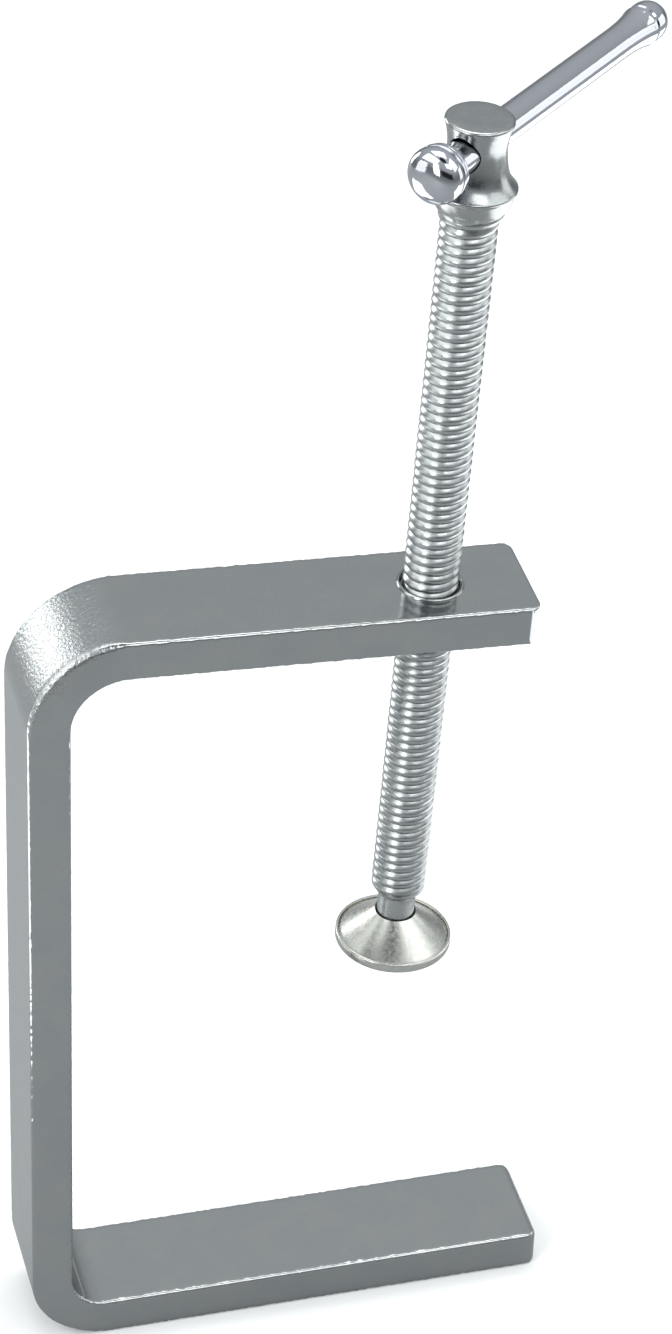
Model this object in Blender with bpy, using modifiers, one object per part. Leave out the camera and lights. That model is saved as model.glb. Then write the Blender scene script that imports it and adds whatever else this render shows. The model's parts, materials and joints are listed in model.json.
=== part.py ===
"""A bent-bar screw clamp: a C-shaped flat-bar frame, a threaded spindle turned by a sliding
tommy bar, and a swivel pad riveted to the spindle's tip.

Units are metres and +Z is up. The origin is the point of the fixed jaw that the screw axis meets,
+X runs from the spine to the open ends of the arms, and Y runs across the bar.
"""

import math

import bmesh
import bpy
from mathutils import Vector

MM = 0.001

# Frame: one flat bar, bent twice
BAR_THICKNESS = 6.3 * MM
BAR_WIDTH = 17.5 * MM
THROAT_DEPTH = 49.0 * MM  # spine's inner face to the screw axis, along the fixed jaw
JAW_OPENING = 118.2 * MM  # fixed jaw to the upper arm's underside, along the screw axis
LOWER_REACH = 26.9 * MM  # lower arm's length past the screw axis
UPPER_REACH = 14.6 * MM  # upper arm's length past the screw axis
TOE_IN = math.radians(2.65)  # how far the upper arm is bent past square
LOWER_BEND = 5.5 * MM  # inner radius of each bend
UPPER_BEND = 8.0 * MM
BEND_STEPS = 8
END_CORNER = 1.2 * MM  # radius of the arms' end corners, seen from above
EDGE_ROUND = 0.45 * MM

# Thread
THREAD_DIAMETER = 8.0 * MM
PITCH = 1.5 * MM
THREAD_DEPTH = 0.75 * MM
THREAD_LENGTH = 117.5 * MM
THREAD_STEPS = 12  # facets in one turn
THREAD_OVERLAP = 0.2 * MM  # how far the thread's root stands off the core that fills it
TAP_CLEARANCE = 0.25 * MM
TAP_COUNTERSINK = 0.7 * MM  # how far the countersink spreads past the thread

# Spindle head, turned above the thread
HEAD_HEIGHT = 15.9 * MM
HEAD_TOP_RADIUS = 4.85 * MM
TOP_CHAMFER = 0.35 * MM
WAIST_RADIUS = 4.15 * MM
BELL_BELOW_TOP = 6.4 * MM  # where the waist flares into the bell above the collar
BELL_RADIUS = 4.35 * MM
COLLAR_BELOW_TOP = 10.2 * MM
COLLAR_RADIUS = 6.2 * MM
COLLAR_BAND = 0.3 * MM  # straight band at the collar's widest
COLLAR_EASE = 0.35 * MM  # how far the curves above and below the collar run inside it
SHANK_STEP = 0.4 * MM  # the head's foot past the thread
SHANK_HEIGHT = 1.1 * MM
HOLE_BELOW_TOP = 4.3 * MM
HOLE_CLEARANCE = 0.3 * MM
HOLE_MOUTH = 0.65 * MM  # how much wider the hole's mouths are

# Tommy bar, which slides in the head's cross hole
BAR_RADIUS = 2.42 * MM
BAR_HEADING = math.radians(43.0)  # from +X, seen from above
BAR_NEAR_END = 8.2 * MM  # axis to the shoulder that holds the knob
BAR_FAR_END = 45.6 * MM  # axis to the shoulder that holds the cap
FLARE_LENGTH = 7.5 * MM
FLARE_RADIUS = 3.0 * MM
BAR_END_CHAMFER = 0.3 * MM
SPIGOT_RADIUS = 1.3 * MM
SPIGOT_LENGTH = 2.6 * MM
KNOB_RADIUS = 4.1 * MM
KNOB_LENGTH = 5.5 * MM
RING_LENGTH = 1.1 * MM  # raised ring at the knob's foot
RING_STEP = 0.35 * MM  # how far the ring lies inside the knob
RING_GROOVE = 0.25 * MM  # groove between ring and dome
CAP_RADIUS = 2.95 * MM
CAP_LENGTH = 4.4 * MM
CAP_DOME = 3.2 * MM  # length of the cap's rounded end

# Spindle tip and swivel pad
PAD_OPENING = 58.6 * MM  # pad face to fixed jaw, as the clamp is set
NECK_RADIUS = 2.75 * MM
NECK_SHOWN = 2.7 * MM  # bare neck between the thread and the pad
NECK_EASE = 0.3 * MM  # taper from the thread's core to the neck
PAD_RADIUS = 8.85 * MM
PAD_FACE_THICKNESS = 0.9 * MM
PAD_CHAMFER = 0.3 * MM
PAD_LIP_HEIGHT = 0.9 * MM
PAD_LIP_WALL = 0.45 * MM
SHELL_HEIGHT = 4.6 * MM
SHELL_WALL = 1.0 * MM
SHELL_BRIM = 0.5 * MM  # upright edge at the cone's foot
TIP_STEP = 0.8 * MM  # how far the riveted tip is turned down from the neck
RIVET_SPREAD = 0.85 * MM  # how far the rivet's head spreads past the tip
RIVET_HEIGHT = 0.6 * MM
RIVET_LIFT = 0.2 * MM  # extra room between the rivet and the pad's face, so that the pad can rock
WASHER_SPREAD = 1.25 * MM  # how far the washer reaches past the neck
WASHER_THICKNESS = 0.7 * MM

GAP = 0.3 * MM  # between pieces that rest on each other
TURN_STEPS = 32  # facets round a turned piece
BAR_STEPS = 24  # facets round the tommy bar and what is pressed on it
OVERSHOOT = 1.0 * MM  # how far a cutter reaches past what it cuts
WELD = 0.001 * MM

# Heights along the screw axis, from the fixed jaw
SHELL_FOOT = PAD_OPENING + PAD_FACE_THICKNESS + GAP
SHELL_TOP = SHELL_FOOT + SHELL_HEIGHT
PAD_PIVOT = SHELL_TOP - SHELL_WALL / 2
RIVET_FOOT = PAD_OPENING + PAD_FACE_THICKNESS + GAP + RIVET_LIFT
WASHER_FOOT = RIVET_FOOT + RIVET_HEIGHT + GAP
NECK_FOOT = WASHER_FOOT + WASHER_THICKNESS + GAP
THREAD_FOOT = SHELL_TOP + NECK_SHOWN
THREAD_TOP = THREAD_FOOT + THREAD_LENGTH
HEAD_TOP = THREAD_TOP + HEAD_HEIGHT
HOLE_HEIGHT = HEAD_TOP - HOLE_BELOW_TOP

THREAD_RADIUS = THREAD_DIAMETER / 2
ROOT_RADIUS = THREAD_RADIUS - THREAD_DEPTH
TIP_RADIUS = NECK_RADIUS - TIP_STEP


def new_collection(name):
    collection = bpy.data.collections.new(name)
    bpy.context.scene.collection.children.link(collection)
    return collection


def new_empty(name, parent=None, location=(0, 0, 0), rotation=(0, 0, 0)):
    empty = bpy.data.objects.new(name, None)
    empty.location, empty.rotation_euler = location, rotation
    empty.empty_display_size = 5 * MM
    clamp.objects.link(empty)
    empty.parent = parent
    return empty


def steel(name, colour, roughness):
    material = bpy.data.materials.new(name)
    material.use_nodes = True
    shader = material.node_tree.nodes["Principled BSDF"]
    shader.inputs["Base Color"].default_value = (*colour, 1)
    shader.inputs["Metallic"].default_value = 1
    shader.inputs["Roughness"].default_value = roughness
    return material


def place(obj, parent, location=(0, 0, 0), rotation=(0, 0, 0), material=None):
    """Puts a piece in the clamp, or among the cutters if it has no material."""
    (clamp if material else cutters).objects.link(obj)
    obj.parent, obj.location, obj.rotation_euler = parent, location, rotation
    if material:
        obj.data.materials.append(material)
    else:
        obj.hide_render, obj.display_type = True, "WIRE"
    return obj


def curved(start, bend, end, count=6):
    """Points of a quadratic curve from start to end, pulled towards bend."""
    start, bend, end = Vector(start), Vector(bend), Vector(end)
    steps = [k / count for k in range(count + 1)]
    return [(1 - t) ** 2 * start + 2 * t * (1 - t) * bend + t * t * end for t in steps]


def arc(centre, radius, first, last, count):
    """Points of a circular arc between two angles, in radians."""
    angles = [first + (last - first) * k / count for k in range(count + 1)]
    return [Vector(centre) + radius * Vector((math.cos(a), math.sin(a))) for a in angles]


def turned(name, outline, steps=TURN_STEPS):
    """A solid turned about Z from an outline of (radius, height), run down its outer side.
    An outline that leaves the axis free comes round to its first point: a ring."""
    ring = outline[0][0] > 0
    count = len(outline)
    edges = [(k, (k + 1) % count) for k in range(count if ring else count - 1)]
    mesh = bpy.data.meshes.new(name)
    mesh.from_pydata([(radius, 0, height) for radius, height in outline], edges, [])
    obj = bpy.data.objects.new(name, mesh)
    screw = obj.modifiers.new("turn", "SCREW")
    screw.steps = screw.render_steps = steps
    screw.use_merge_vertices = True
    screw.merge_threshold = WELD
    return obj


def combine(obj, operation, other):
    boolean = obj.modifiers.new(other.name, "BOOLEAN")
    boolean.operation, boolean.object = operation, other


def thread_form(name, root, crest, low, high):
    """A closed length of right-hand thread that reaches past low and high along Z. All of them
    are in step, because each starts a whole number of pitches from the fixed jaw."""
    first = math.floor(low / PITCH) - 1
    turns = math.ceil(high / PITCH) + 1 - first
    foot = first * PITCH
    outline = [(root, 0, foot + PITCH), (crest, 0, foot + PITCH / 2), (root, 0, foot)]
    mesh = bpy.data.meshes.new(name)
    mesh.from_pydata(outline, [(0, 1), (1, 2)], [])
    strip = bpy.data.objects.new(name + "_strip", mesh)
    cutters.objects.link(strip)
    screw = strip.modifiers.new("helix", "SCREW")
    screw.steps = screw.render_steps = THREAD_STEPS
    screw.screw_offset, screw.iterations = PITCH, turns
    bm = bmesh.new()
    bm.from_mesh(as_mesh(strip))
    bmesh.ops.remove_doubles(bm, verts=bm.verts, dist=WELD)
    close_end(bm, foot - PITCH, foot + 1.2 * PITCH)
    close_end(bm, foot + (turns - 0.2) * PITCH, foot + (turns + 2) * PITCH)
    bmesh.ops.recalc_face_normals(bm, faces=bm.faces)
    mesh = bpy.data.meshes.new(name)
    bm.to_mesh(mesh)
    bm.free()
    return bpy.data.objects.new(name, mesh)


def close_end(bm, low, high):
    """Draws the open edges between two heights together into one point on the axis."""
    rim = [e for e in bm.edges if e.is_boundary and all(low < v.co.z < high for v in e.verts)]
    made = bmesh.ops.extrude_edge_only(bm, edges=rim)["geom"]
    points = [item for item in made if isinstance(item, bmesh.types.BMVert)]
    middle = sum(point.co.z for point in points) / len(points)
    bmesh.ops.pointmerge(bm, verts=points, merge_co=(0, 0, middle))


def as_mesh(obj):
    """The object's evaluated mesh. The object itself is removed."""
    graph = bpy.context.evaluated_depsgraph_get()
    mesh = bpy.data.meshes.new_from_object(obj.evaluated_get(graph))
    bpy.data.objects.remove(obj)
    return mesh


def frame_outline():
    """The frame's side view: out along one face of the bar and back along the other."""
    spine = -(THROAT_DEPTH + BAR_THICKNESS)
    bend = math.pi / 2 - TOE_IN
    along = Vector((math.cos(TOE_IN), -math.sin(TOE_IN)))
    up = Vector((math.sin(TOE_IN), math.cos(TOE_IN)))
    axis_foot = up * JAW_OPENING
    # The upper bend's centre lies one inner radius from the arm's underside and from the spine
    under = axis_foot - up * UPPER_BEND
    reach = (under.x - (spine + BAR_THICKNESS + UPPER_BEND)) / along.x
    upper = under - along * reach
    lower = Vector((spine + BAR_THICKNESS + LOWER_BEND, LOWER_BEND))
    upper_tip = axis_foot + along * UPPER_REACH
    points = [Vector((LOWER_REACH, -BAR_THICKNESS))]
    points += reversed(arc(lower, LOWER_BEND + BAR_THICKNESS, math.pi, 1.5 * math.pi, BEND_STEPS))
    points += reversed(arc(upper, UPPER_BEND + BAR_THICKNESS, bend, math.pi, BEND_STEPS))
    points += [upper_tip + up * BAR_THICKNESS, upper_tip]
    points += arc(upper, UPPER_BEND, bend, math.pi, BEND_STEPS)
    points += arc(lower, LOWER_BEND, math.pi, 1.5 * math.pi, BEND_STEPS)
    points += [Vector((LOWER_REACH, 0))]
    return points


def make_frame():
    """The bent bar, with the tapped hole for the spindle through its upper arm."""
    curve = bpy.data.curves.new("frame", "CURVE")
    curve.dimensions, curve.fill_mode, curve.extrude = "2D", "BOTH", BAR_WIDTH / 2
    outline = frame_outline()
    spline = curve.splines.new("POLY")
    spline.points.add(len(outline) - 1)
    for point, (x, z) in zip(spline.points, outline):
        point.co = (x, z, 0, 1)
    spline.use_cyclic_u = True
    flat = bpy.data.objects.new("frame_outline", curve)
    cutters.objects.link(flat)
    mesh = as_mesh(flat)
    round_end_corners(mesh)
    frame = bpy.data.objects.new("frame", mesh)
    satin = steel("satin_plating", (0.45, 0.48, 0.49), 0.3)
    place(frame, None, rotation=(math.pi / 2, 0, 0), material=satin)
    bevel = frame.modifiers.new("worn_edges", "BEVEL")
    bevel.width, bevel.segments, bevel.angle_limit = EDGE_ROUND, 2, math.radians(50)

    low, high = JAW_OPENING, JAW_OPENING + BAR_THICKNESS
    crest = THREAD_RADIUS + TAP_CLEARANCE
    tap = thread_form("tap", ROOT_RADIUS + TAP_CLEARANCE, crest, low, high)
    combine(frame, "DIFFERENCE", place(tap, screw_axis))
    sink = crest + TAP_COUNTERSINK
    outline = [(0, high + OVERSHOOT), (sink + OVERSHOOT, high + OVERSHOOT)]
    outline += [(crest, high - TAP_COUNTERSINK), (0, high - TAP_COUNTERSINK)]
    combine(frame, "DIFFERENCE", place(turned("countersink", outline), screw_axis))
    return frame


def round_end_corners(mesh):
    """Rounds the upright edges at the arms' free ends, where the outline still lies in XY."""
    bm = bmesh.new()
    bm.from_mesh(mesh)
    bmesh.ops.remove_doubles(bm, verts=bm.verts, dist=WELD)
    bmesh.ops.dissolve_limit(bm, angle_limit=0.01, verts=bm.verts, edges=bm.edges)
    past_axis = LOWER_REACH / 4
    corners = [e for e in bm.edges if min(v.co.x for v in e.verts) > past_axis
               and abs(e.verts[0].co.z - e.verts[1].co.z) < WELD
               and abs(e.calc_length() - BAR_THICKNESS) < GAP]
    bmesh.ops.bevel(bm, geom=corners, offset=END_CORNER, segments=3, profile=0.5, affect="EDGES")
    bm.to_mesh(mesh)
    bm.free()


def make_spindle():
    """The threaded rod: turned head with a cross hole, thread, neck and riveted tip."""
    core = ROOT_RADIUS - THREAD_OVERLAP
    bell, collar = HEAD_TOP - BELL_BELOW_TOP, HEAD_TOP - COLLAR_BELOW_TOP
    top_edge = HEAD_TOP - TOP_CHAMFER
    # A quadratic curve passes halfway between its pull and the middle of its ends
    pull = 2 * WAIST_RADIUS - (HEAD_TOP_RADIUS + BELL_RADIUS) / 2
    inside = COLLAR_RADIUS - COLLAR_EASE
    shank = (THREAD_RADIUS + SHANK_STEP, THREAD_TOP + SHANK_HEIGHT)
    outline = [(0, HEAD_TOP), (HEAD_TOP_RADIUS - TOP_CHAMFER, HEAD_TOP)]
    outline += curved((HEAD_TOP_RADIUS, top_edge), (pull, (top_edge + bell) / 2), (BELL_RADIUS, bell))
    outline += curved((BELL_RADIUS, bell), (inside, (bell + collar) / 2), (COLLAR_RADIUS, collar))[1:]
    band = (COLLAR_RADIUS, collar - COLLAR_BAND)
    outline += curved(band, (inside, (band[1] + shank[1]) / 2), shank)
    outline += [(core, THREAD_TOP), (core, THREAD_FOOT), (NECK_RADIUS, THREAD_FOOT - NECK_EASE)]
    rivet_top, rivet = RIVET_FOOT + RIVET_HEIGHT, TIP_RADIUS + RIVET_SPREAD
    outline += [(NECK_RADIUS, NECK_FOOT), (TIP_RADIUS, NECK_FOOT), (TIP_RADIUS, rivet_top)]
    outline += [(rivet, rivet_top), (rivet - RIVET_HEIGHT / 2, RIVET_FOOT), (0, RIVET_FOOT)]
    spindle = turned("spindle", outline)
    place(spindle, screw_axis, material=steel("bright_plating", (0.62, 0.63, 0.63), 0.22))

    thread = thread_form("thread", ROOT_RADIUS, THREAD_RADIUS, THREAD_FOOT, THREAD_TOP)
    place(thread, screw_axis)
    blank, blank_top = THREAD_RADIUS + THREAD_OVERLAP / 2, THREAD_TOP + THREAD_OVERLAP
    outline = [(0, blank_top), (blank, blank_top), (blank, THREAD_FOOT + THREAD_DEPTH)]
    outline += [(blank - THREAD_DEPTH, THREAD_FOOT), (0, THREAD_FOOT)]
    combine(thread, "INTERSECT", place(turned("thread_blank", outline), screw_axis))
    combine(spindle, "UNION", thread)

    bore = BAR_RADIUS + HOLE_CLEARANCE
    mouth = bore + HOLE_MOUTH
    reach = COLLAR_RADIUS + OVERSHOOT
    outline = [(0, reach), (mouth, reach), (mouth, WAIST_RADIUS), (bore, WAIST_RADIUS - HOLE_MOUTH)]
    outline += [(bore, HOLE_MOUTH - WAIST_RADIUS), (mouth, -WAIST_RADIUS), (mouth, -reach), (0, -reach)]
    drill = place(turned("cross_drill", outline), cross_hole, rotation=(0, math.pi / 2, 0))
    combine(spindle, "DIFFERENCE", drill)


def make_tommy_bar():
    """The sliding bar, whose flared far end carries a cap and whose near end carries a knob."""
    bright = steel("chrome_plating", (0.72, 0.73, 0.75), 0.12)
    along = {"rotation": (0, math.pi / 2, 0), "material": bright}
    flare_start = BAR_FAR_END - FLARE_LENGTH
    flare_end = BAR_FAR_END - BAR_END_CHAMFER
    shoulder = FLARE_RADIUS - BAR_END_CHAMFER
    tip = SPIGOT_LENGTH + BAR_FAR_END
    outline = [(0, tip), (SPIGOT_RADIUS, tip), (SPIGOT_RADIUS, BAR_FAR_END), (shoulder, BAR_FAR_END)]
    outline += curved((FLARE_RADIUS, flare_end), (BAR_RADIUS, (flare_start + flare_end) / 2),
                      (BAR_RADIUS, flare_start))
    outline += [(BAR_RADIUS, -BAR_NEAR_END), (SPIGOT_RADIUS, -BAR_NEAR_END)]
    outline += [(SPIGOT_RADIUS, -BAR_NEAR_END - SPIGOT_LENGTH), (0, -BAR_NEAR_END - SPIGOT_LENGTH)]
    place(turned("tommy_bar", outline, BAR_STEPS), cross_hole, **along)

    bore, depth = SPIGOT_RADIUS + GAP, SPIGOT_LENGTH + GAP
    foot = BAR_FAR_END + GAP
    top = foot + CAP_LENGTH
    dome = top - CAP_DOME
    outline = [(0, top)]
    outline += curved((CAP_RADIUS / 2, top - BAR_END_CHAMFER), (CAP_RADIUS, top - BAR_END_CHAMFER),
                      (CAP_RADIUS, dome))
    outline += [(CAP_RADIUS, foot + BAR_END_CHAMFER), (CAP_RADIUS - BAR_END_CHAMFER, foot), (bore, foot)]
    outline += [(bore, foot + depth), (0, foot + depth)]
    place(turned("bar_cap", outline, BAR_STEPS), cross_hole, **along)

    back = -BAR_NEAR_END - GAP
    ring_end, front = back - RING_LENGTH, back - KNOB_LENGTH
    ring, groove = KNOB_RADIUS - RING_STEP, KNOB_RADIUS - RING_STEP - RING_GROOVE
    outline = [(0, back - depth), (bore, back - depth), (bore, back), (ring - BAR_END_CHAMFER, back)]
    outline += [(ring, back - BAR_END_CHAMFER), (ring, ring_end + RING_GROOVE), (groove, ring_end)]
    outline += curved((KNOB_RADIUS - RING_GROOVE, ring_end - RING_GROOVE), (KNOB_RADIUS + RING_STEP, front),
                      (0, front), 10)
    place(turned("bar_knob", outline, BAR_STEPS), cross_hole, **along)


def make_pad():
    """The swivel pad: a cone shell over the tip's washer, closed by a face plate with a lip."""
    satin = steel("turned_steel", (0.66, 0.65, 0.62), 0.28)
    lip_inner = PAD_RADIUS - PAD_LIP_WALL
    face_top = PAD_OPENING + PAD_FACE_THICKNESS
    lip_top = face_top + PAD_LIP_HEIGHT
    outline = [(0, face_top), (lip_inner, face_top), (lip_inner, lip_top)]
    outline += [(PAD_RADIUS - PAD_CHAMFER / 2, lip_top), (PAD_RADIUS, lip_top - PAD_CHAMFER / 2)]
    outline += [(PAD_RADIUS, PAD_OPENING + PAD_CHAMFER), (PAD_RADIUS - PAD_CHAMFER, PAD_OPENING)]
    outline += [(0, PAD_OPENING)]
    outline = [(radius, height - PAD_PIVOT) for radius, height in outline]
    place(turned("pad_face", outline), pad_pivot, material=satin)

    hole = NECK_RADIUS + GAP
    rim = lip_inner - GAP
    brim = SHELL_FOOT + SHELL_BRIM
    slope = (SHELL_TOP - brim) / (rim - hole - PAD_CHAMFER)
    inner = rim - SHELL_WALL / slope
    outline = [(hole + PAD_CHAMFER, SHELL_TOP), (rim, brim), (rim, SHELL_FOOT), (inner, SHELL_FOOT)]
    outline += [(hole, SHELL_TOP - SHELL_WALL), (hole, SHELL_TOP - PAD_CHAMFER)]
    outline = [(radius, height - PAD_PIVOT) for radius, height in outline]
    place(turned("pad_shell", outline), pad_pivot, material=satin)

    outer, inner = NECK_RADIUS + WASHER_SPREAD, TIP_RADIUS + GAP
    top = WASHER_FOOT + WASHER_THICKNESS
    outline = [(outer, top), (outer, WASHER_FOOT), (inner, WASHER_FOOT), (inner, top)]
    place(turned("pad_washer", outline), screw_axis, material=satin)


for old in list(bpy.data.objects):
    bpy.data.objects.remove(old)
clamp = new_collection("screw_clamp")
cutters = new_collection("cutters")
screw_axis = new_empty("screw_axis", rotation=(0, TOE_IN, 0))
cross_hole = new_empty("cross_hole", screw_axis, (0, 0, HOLE_HEIGHT), (0, 0, BAR_HEADING))
pad_pivot = new_empty("pad_pivot", screw_axis, (0, 0, PAD_PIVOT))
make_frame()
make_spindle()
make_tommy_bar()
make_pad()
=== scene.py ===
"""Looks of a bent-bar screw clamp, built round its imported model: metres, +Z up."""
import json
import math

import bmesh
import bpy
from mathutils import Matrix, Vector, noise


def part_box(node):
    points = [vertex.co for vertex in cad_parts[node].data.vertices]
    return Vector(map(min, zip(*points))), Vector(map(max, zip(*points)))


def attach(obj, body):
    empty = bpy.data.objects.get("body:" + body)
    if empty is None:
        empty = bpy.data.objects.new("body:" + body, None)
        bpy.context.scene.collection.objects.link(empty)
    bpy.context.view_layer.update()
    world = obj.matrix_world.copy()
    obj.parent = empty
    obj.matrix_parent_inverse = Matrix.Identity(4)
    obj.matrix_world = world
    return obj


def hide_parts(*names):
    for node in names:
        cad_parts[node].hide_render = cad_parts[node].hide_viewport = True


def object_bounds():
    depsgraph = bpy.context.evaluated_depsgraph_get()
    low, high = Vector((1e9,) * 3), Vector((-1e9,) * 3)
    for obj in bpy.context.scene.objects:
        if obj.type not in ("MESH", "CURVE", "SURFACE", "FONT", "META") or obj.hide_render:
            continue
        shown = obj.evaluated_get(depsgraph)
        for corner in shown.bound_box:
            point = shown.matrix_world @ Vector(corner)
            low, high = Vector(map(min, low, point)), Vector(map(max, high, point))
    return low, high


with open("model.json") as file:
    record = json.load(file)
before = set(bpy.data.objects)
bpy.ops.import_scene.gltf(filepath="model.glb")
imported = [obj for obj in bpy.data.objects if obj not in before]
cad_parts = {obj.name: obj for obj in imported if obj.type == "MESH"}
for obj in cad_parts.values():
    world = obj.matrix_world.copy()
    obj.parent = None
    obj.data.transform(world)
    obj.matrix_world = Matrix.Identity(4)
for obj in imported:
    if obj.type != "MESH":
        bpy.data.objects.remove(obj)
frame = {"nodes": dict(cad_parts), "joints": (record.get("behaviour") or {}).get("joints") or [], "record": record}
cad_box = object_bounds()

# ---------------------------------------------------------------------------------------------
# Frame. One length of flat steel bar, sheared off and bent cold twice round a former, then
# drilled and tapped through its upper arm, and zinc plated last. Shearing leaves a ragged burr
# along the edges, and each bend stretches the skin on its outer side.
# ---------------------------------------------------------------------------------------------
MM = 0.001
BAR_THICKNESS = 6.3 * MM
BAR_WIDTH = 17.5 * MM
LOWER_BEND = 5.5 * MM  # inner radii
UPPER_BEND = 8.0 * MM
UPPER_REACH = 14.6 * MM  # upper arm's length past the screw
LOWER_STRETCH = 0.4  # how much the skin outside a bend is stretched, against the upper bend
EDGE_ROUND = 0.4 * MM
EDGE_POINTS = 7
CHAMFERED = 1.35  # 1 draws an edge as a round, 2 as a straight chamfer
LONG_WAVE, SHORT_WAVE = 1.6, 0.6  # in mm, over which an edge's round wanders
LONG_RAG, SHORT_RAG = 0.9, 0.45  # in mm, over which its burr does
STRETCHED_ROUND = 0.6 * MM  # how much rounder the outer edges get in the upper bend
PINCH = 0.3 * MM  # how far a bend spreads the bar's inner side and draws in its outer side
BURR = 0.065 * MM
PLAN_CORNER = 1.9 * MM  # round of the arms' free ends seen from above
INNER_END = 1.15 * MM  # rounds of the free ends seen from the side
OUTER_END = 0.5 * MM
END_STOPS = 16  # drawn sections in a free end's round
STRAIGHT_STEP = 0.45 * MM  # distance between drawn sections
BEND_STEP = 0.28 * MM
FLAT_STRIPS = (26, 8, 26, 8)  # strips on each flat: inner, side, outer, side

screw_way = Vector(next(j["axis"] for j in frame["joints"] if j["name"] == "spindle_travel"))
screw_way.normalize()
arm_way = Vector((screw_way.z, 0, -screw_way.x))
frame_low, frame_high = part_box("frame")


def bar_legs():
    """The inner side of the bent bar as straight and round legs, from the lower arm's end."""
    spine = frame_low.x + BAR_THICKNESS
    lower = Vector((spine + LOWER_BEND, 0, LOWER_BEND))
    upper = Vector((spine + UPPER_BEND, 0, frame_high.z - BAR_THICKNESS - UPPER_BEND))
    jaw_end = Vector((frame_high.x, 0, 0))
    heel = Vector((lower.x, 0, 0))
    spine_foot, spine_top = Vector((spine, 0, lower.z)), Vector((spine, 0, upper.z))
    arm_start = upper + screw_way * UPPER_BEND
    tip = screw_way * screw_way.dot(arm_start) + arm_way * UPPER_REACH
    lean = math.atan2(screw_way.x, screw_way.z)
    down, back = Vector((0, 0, -1)), Vector((-1, 0, 0))
    to_spine, to_arm = (1.5 * math.pi, math.pi), (math.pi, math.pi / 2 - lean)
    return [
        {"start": jaw_end, "end": heel, "outward": down},
        {"centre": lower, "radius": LOWER_BEND, "turn": to_spine, "stretch": LOWER_STRETCH},
        {"start": spine_foot, "end": spine_top, "outward": back},
        {"centre": upper, "radius": UPPER_BEND, "turn": to_arm, "stretch": 1},
        {"start": arm_start, "end": tip, "outward": screw_way},
    ]


def leg_length(leg):
    if "start" in leg:
        return (leg["end"] - leg["start"]).length
    return (leg["radius"] + BAR_THICKNESS / 2) * abs(leg["turn"][1] - leg["turn"][0])


def along_bar(legs, length):
    """(point on the inner side, outward direction, stretch of the outer skin) at a length."""
    for leg in legs:
        own = leg_length(leg)
        if length <= own or leg is legs[-1]:
            break
        length -= own
    share = length / own
    if "start" in leg:
        return leg["start"].lerp(leg["end"], share), leg["outward"], 0
    angle = leg["turn"][0] + share * (leg["turn"][1] - leg["turn"][0])
    outward = Vector((math.cos(angle), 0, math.sin(angle)))
    stretch = leg["stretch"] * math.sin(math.pi * share) ** 0.7
    return leg["centre"] + outward * leg["radius"], outward, stretch


def stops(legs):
    """Lengths along the bar at which its section is drawn: close together in bends and ends."""
    total = sum(leg_length(leg) for leg in legs)
    ends = [PLAN_CORNER * (k / END_STOPS) ** 1.5 for k in range(END_STOPS + 1)]
    found = set(ends) | {total - length for length in ends}
    done = 0
    for leg in legs:
        own = leg_length(leg)
        count = round(own / (STRAIGHT_STEP if "start" in leg else BEND_STEP))
        found |= {done + own * k / count for k in range(count)}
        done += own
    apart = [length for length in sorted(found) if PLAN_CORNER < length < total - PLAN_CORNER]
    return ends + apart[1:] + [total - length for length in reversed(ends)]


def drawn_in(radius, from_end):
    """How far a round end draws a side in, at a distance from the bar's end."""
    if from_end >= radius:
        return 0
    return radius - math.sqrt(radius ** 2 - (radius - from_end) ** 2)


def wobble(*place):
    """Smooth noise from -1 to 1 that changes over about one unit."""
    return noise.noise(Vector(place))


def worn_edge(number, side, widest, level, up, mm, stretch):
    """One long edge of the bar at a stop, as (across, outward) points from its side to its flat.
    Its round and its burr wander, and less where the bar is stretched. The edges' numbers keep
    their wobbles apart."""
    outside = up < 0
    ragged = 1 - 0.75 * stretch
    radius = EDGE_ROUND + (STRETCHED_ROUND if outside else 0.2 * STRETCHED_ROUND) * stretch
    long, short = wobble(mm / LONG_WAVE, number * 9, 0), wobble(mm / SHORT_WAVE, number * 9, 5)
    radius *= 1 + ragged * (0.35 * long + 0.3 * short)
    long, short = wobble(mm / LONG_RAG, number * 7, 11), wobble(mm / SHORT_RAG, number * 7, 3)
    burr = BURR * ragged * (long + short)
    points = []
    for k in range(EDGE_POINTS):
        turn = math.pi / 2 * k / (EDGE_POINTS - 1)
        lift = burr * math.sin(2 * turn)
        across = widest - radius * (1 - max(0, math.sin(turn)) ** CHAMFERED) + lift
        out = radius * (1 - max(0, math.cos(turn)) ** CHAMFERED) - lift
        points.append((side * across, level + up * out))
    return points if side * up > 0 else points[::-1]


def bar_section(length, total, stretch):
    """The bar's outline at one stop: an edge at each corner, and even points along the flats."""
    from_end = min(length, total - length)
    half = BAR_WIDTH / 2 - drawn_in(PLAN_CORNER, from_end)
    inner = drawn_in(INNER_END, from_end)
    outer = BAR_THICKNESS - drawn_in(OUTER_END, from_end)
    spread, pinched = half + PINCH * stretch, half - PINCH * stretch
    mm = length / MM
    edges = [
        worn_edge(0, -1, spread, inner, 1, mm, stretch),
        worn_edge(1, 1, spread, inner, 1, mm, stretch),
        worn_edge(2, 1, pinched, outer, -1, mm, stretch),
        worn_edge(3, -1, pinched, outer, -1, mm, stretch),
    ]
    section = []
    for number, count in enumerate(FLAT_STRIPS):
        section += edges[number]
        start, end = edges[number][-1], edges[(number + 1) % 4][0]
        for k in range(1, count):
            share = k / count
            section.append(tuple(a + (b - a) * share for a, b in zip(start, end)))
    return section


def skin(bm, rings):
    """Joins rings of points with quads, one ring to the next."""
    for first, second in zip(rings, rings[1:]):
        for k in range(len(first)):
            after = (k + 1) % len(first)
            bm.faces.new((first[k], first[after], second[after], second[k]))


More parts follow.
